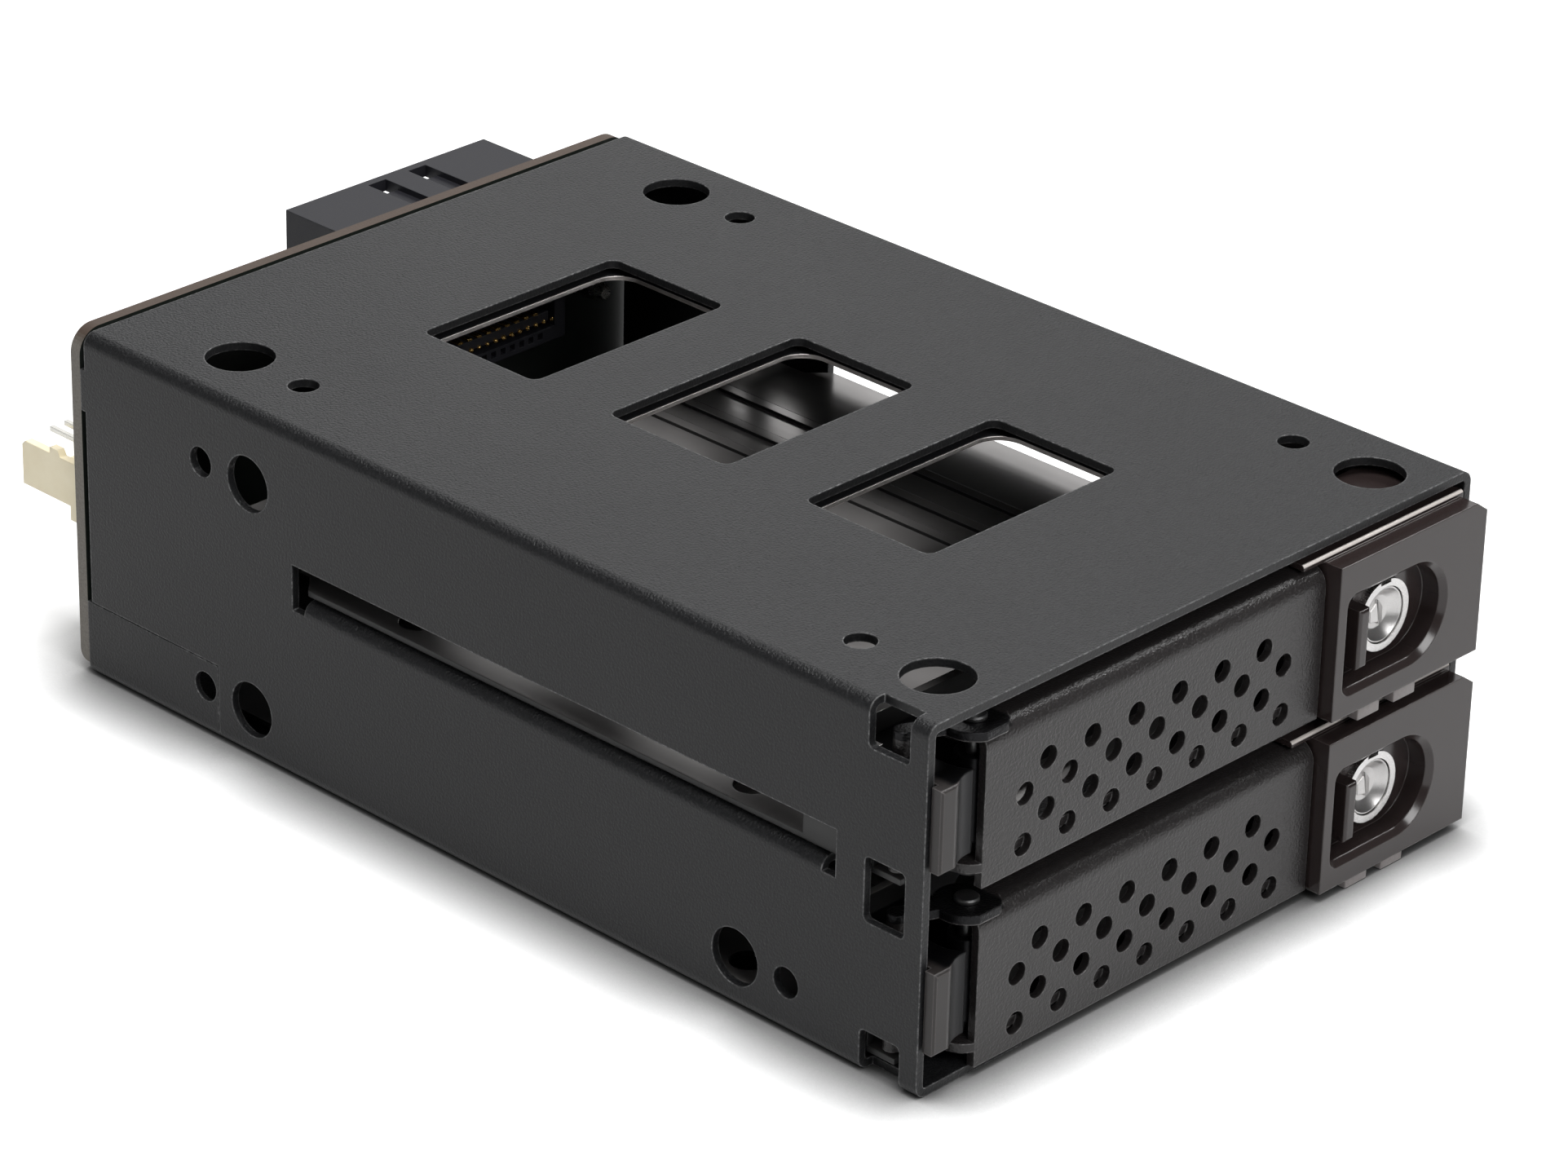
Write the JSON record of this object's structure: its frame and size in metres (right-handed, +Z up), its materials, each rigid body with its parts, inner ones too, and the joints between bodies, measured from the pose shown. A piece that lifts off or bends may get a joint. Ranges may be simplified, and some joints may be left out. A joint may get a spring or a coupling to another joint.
{
  "type": "hot swap drive cage",
  "caption": "Hot swap drive cage: folded black sheet shell with sliding trays, each closed by a perforated swing lever, finger latch and key lock, and a rear board with data and power sockets",
  "frame": {"origin": "middle of the base, on its underside, halfway along the cage shell", "axes": "X to the right seen from the front, Y from the front with the levers to the back with the board, Z up"},
  "size_m": [0.1016, 0.17, 0.0508],
  "materials": {
    "shell_coat": "fine textured satin powder coat, near black",
    "plate_coat": "satin coat with bright bare cut edges",
    "tray_coat": "smooth gloss coat, near black",
    "bezel_gloss": "gloss moulding",
    "post_grey": "satin grey moulding",
    "lock_plate": "bright plated lock",
    "screw_steel": "plain steel",
    "rivet_steel": "flush steel rivet",
    "pin_plate": "tin plate",
    "contact_gold": "gold flash",
    "board_laminate": "fibreglass laminate",
    "socket_black": "satin moulding",
    "header_cream": "natural moulding",
    "pipe_clear": "clear light pipe"
  },
  "bodies": {
    "cage": {"cage_shell": "shell_coat", "base_plate": "shell_coat", "base_rivets": "rivet_steel", "window_plate": "plate_coat", "rear_board": "board_laminate", "board_screws": "screw_steel", "data_connector": "socket_black", "power_header": "header_cream", "power_pins": "pin_plate", "guide_pins": "pin_plate", "drive_connector_upper": "socket_black", "drive_connector_lower": "socket_black", "drive_contacts_upper": "contact_gold", "drive_contacts_lower": "contact_gold"},
    "tray_upper": {"tray_upper": "tray_coat", "hinge_post_upper": "post_grey", "hinge_pin_upper": "screw_steel", "latch_bezel_upper": "bezel_gloss", "lock_barrel_upper": "lock_plate", "light_pipes_upper": "pipe_clear", "bezel_screws_upper": "screw_steel", "latch_spring_upper": "pin_plate"},
    "lever_upper": {"lever_upper": "tray_coat"},
    "latch_upper": {"latch_slider_upper": "bezel_gloss"},
    "key_upper": {"lock_rotor_upper": "lock_plate"},
    "tray_lower": {"tray_lower": "tray_coat", "hinge_post_lower": "post_grey", "hinge_pin_lower": "screw_steel", "latch_bezel_lower": "bezel_gloss", "lock_barrel_lower": "lock_plate", "light_pipes_lower": "pipe_clear", "bezel_screws_lower": "screw_steel", "latch_spring_lower": "pin_plate"},
    "lever_lower": {"lever_lower": "tray_coat"},
    "latch_lower": {"latch_slider_lower": "bezel_gloss"},
    "key_lower": {"lock_rotor_lower": "lock_plate"}
  },
  "joints": [
    {"name": "tray_upper_slide", "type": "slide", "parent": "cage", "child": "tray_upper", "axis": [0, -1, 0], "range_m": [0, 0.15]},
    {"name": "lever_upper_swing", "type": "hinge", "parent": "tray_upper", "child": "lever_upper", "pos_m": [-0.0398, -0.0732, 0.037], "axis": [0, 0, -1], "range_deg": [0, 80]},
    {"name": "latch_upper_press", "type": "slide", "parent": "tray_upper", "child": "latch_upper", "axis": [-1, 0, 0], "range_m": [0, 0.002], "stiffness_N_per_m": 150, "springref_m": -0.002, "deforming": ["latch_spring_upper"]},
    {"name": "key_upper_turn", "type": "hinge", "parent": "tray_upper", "child": "key_upper", "pos_m": [0.0339, -0.076, 0.03605], "axis": [0, 1, 0], "range_deg": [0, 90]},
    {"name": "tray_lower_slide", "type": "slide", "parent": "cage", "child": "tray_lower", "axis": [0, -1, 0], "range_m": [0, 0.15]},
    {"name": "lever_lower_swing", "type": "hinge", "parent": "tray_lower", "child": "lever_lower", "pos_m": [-0.0398, -0.0732, 0.0122], "axis": [0, 0, -1], "range_deg": [0, 80]},
    {"name": "latch_lower_press", "type": "slide", "parent": "tray_lower", "child": "latch_lower", "axis": [-1, 0, 0], "range_m": [0, 0.002], "stiffness_N_per_m": 150, "springref_m": -0.002, "deforming": ["latch_spring_lower"]},
    {"name": "key_lower_turn", "type": "hinge", "parent": "tray_lower", "child": "key_lower", "pos_m": [0.0339, -0.076, 0.01125], "axis": [0, 1, 0], "range_deg": [0, 90]}
  ]
}
